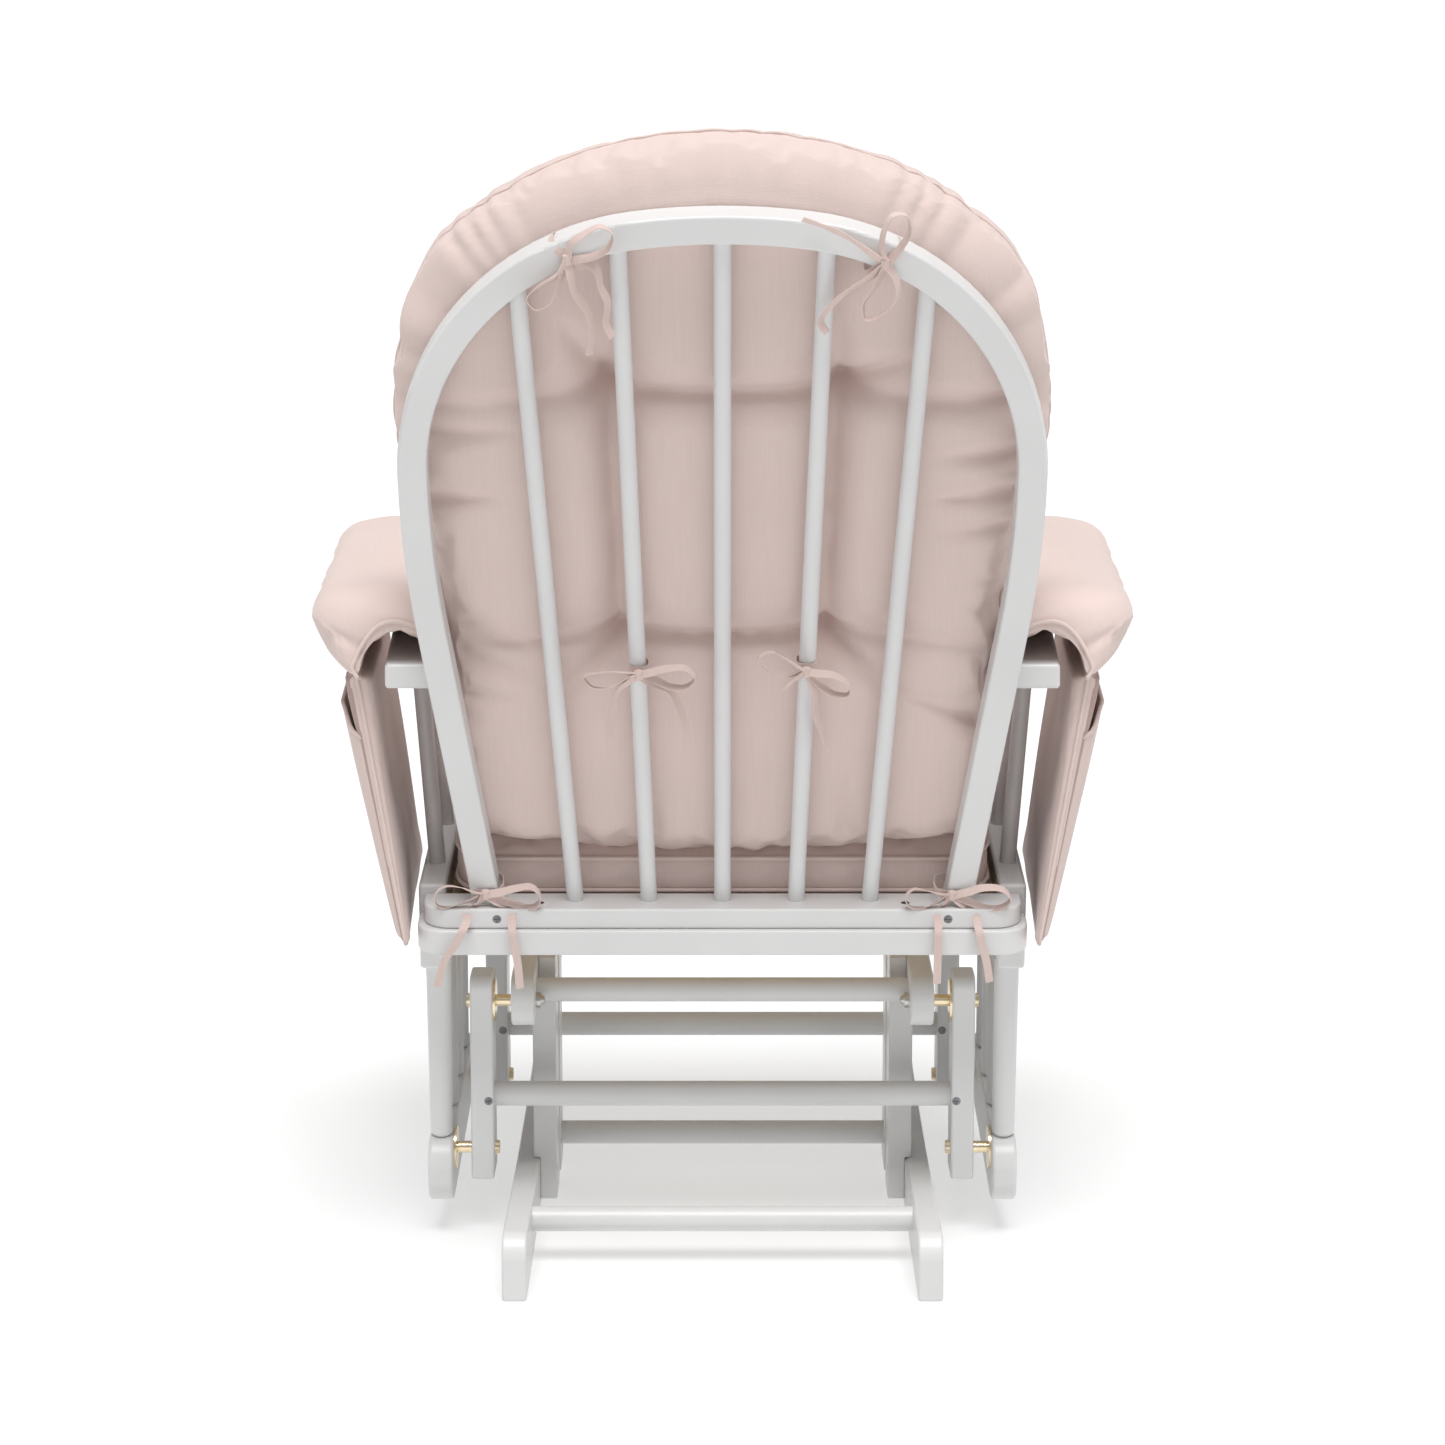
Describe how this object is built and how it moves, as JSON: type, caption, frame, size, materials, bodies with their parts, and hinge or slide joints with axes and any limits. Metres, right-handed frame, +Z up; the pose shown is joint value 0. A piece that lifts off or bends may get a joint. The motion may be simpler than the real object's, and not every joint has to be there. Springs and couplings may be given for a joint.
{
  "type": "glider nursery chair",
  "caption": "Hoop-back nursery glider chair with padded arms, loose cushions tied with ribbons, and a seat that swings on hanging links.",
  "frame": {"origin": "middle of the chair's outline on the floor", "axes": "+Z up; -Y is the way the sitter faces; +X to the sitter's left"},
  "size_m": [0.761, 0.691, 1.0418],
  "materials": {
    "white_paint": "satin white paint on hardwood",
    "plywood": "raw plywood",
    "cushion_fabric": "plain dusty-pink woven polyester",
    "ribbon": "woven pink ribbon",
    "brass_plate": "polished brass-plated steel",
    "nickel": "nickel-plated steel",
    "dark_steel": "zinc-plated steel"
  },
  "bodies": {
    "base": {"foot_left": "white_paint", "foot_right": "white_paint", "rear_upright_left": "white_paint", "rear_upright_right": "white_paint", "front_upright_left": "white_paint", "front_upright_right": "white_paint", "hanger_rail_left": "white_paint", "hanger_rail_right": "white_paint", "upper_rear_dowel": "white_paint", "upper_front_dowel": "white_paint", "lower_rear_dowel": "white_paint", "lower_middle_dowel": "white_paint", "base_screws": "dark_steel", "hanger_bolts": "brass_plate", "hanger_nuts": "nickel"},
    "rear_link": {"rear_link_left": "white_paint", "rear_link_right": "white_paint", "rear_link_dowel": "white_paint", "rear_link_screws": "dark_steel", "rear_link_bushes": "nickel", "rear_swing_pins": "brass_plate"},
    "front_link": {"front_link_left": "white_paint", "front_link_right": "white_paint", "front_link_dowel": "white_paint", "front_link_screws": "dark_steel", "front_link_bushes": "nickel", "front_swing_pins": "brass_plate"},
    "seat": {"lower_rail_left": "white_paint", "lower_rail_right": "white_paint", "lower_posts_left": "white_paint", "lower_posts_right": "white_paint", "side_rail_left": "white_paint", "side_rail_right": "white_paint", "front_seat_rail": "white_paint", "rear_seat_rail": "white_paint", "back_rail": "white_paint", "seat_deck": "plywood", "deck_cleats": "plywood", "back_hoop": "white_paint", "spindle_1": "white_paint", "spindle_2": "white_paint", "spindle_3": "white_paint", "spindle_4": "white_paint", "spindle_5": "white_paint", "arm_left": "white_paint", "arm_right": "white_paint", "arm_posts_left": "white_paint", "arm_posts_right": "white_paint", "seat_screws": "dark_steel", "rail_bushes": "nickel", "seat_cushion": "cushion_fabric", "back_cushion": "cushion_fabric", "arm_pad_left": "cushion_fabric", "arm_pad_right": "cushion_fabric", "arm_pocket_left": "cushion_fabric", "arm_pocket_right": "cushion_fabric", "upper_ties": "ribbon", "middle_ties": "ribbon", "lower_ties": "ribbon"}
  },
  "joints": [
    {"name": "rear_link_swing", "type": "hinge", "parent": "base", "child": "rear_link", "pos_m": [0, 0.06, 0.218], "axis": [1, 0, 0], "range_deg": [-20, 20]},
    {"name": "seat_swing", "type": "hinge", "parent": "rear_link", "child": "seat", "pos_m": [0, 0.06, 0.076], "axis": [1, 0, 0], "range_deg": [-20, 20]},
    {"name": "front_link_swing", "type": "hinge", "parent": "base", "child": "front_link", "pos_m": [0, -0.156, 0.218], "axis": [1, 0, 0], "range_deg": [-20, 20]}
  ],
  "couplings": [
    {"joint": "seat_swing", "follows": "rear_link_swing", "ratio": -1},
    {"joint": "front_link_swing", "follows": "rear_link_swing", "ratio": 1}
  ]
}
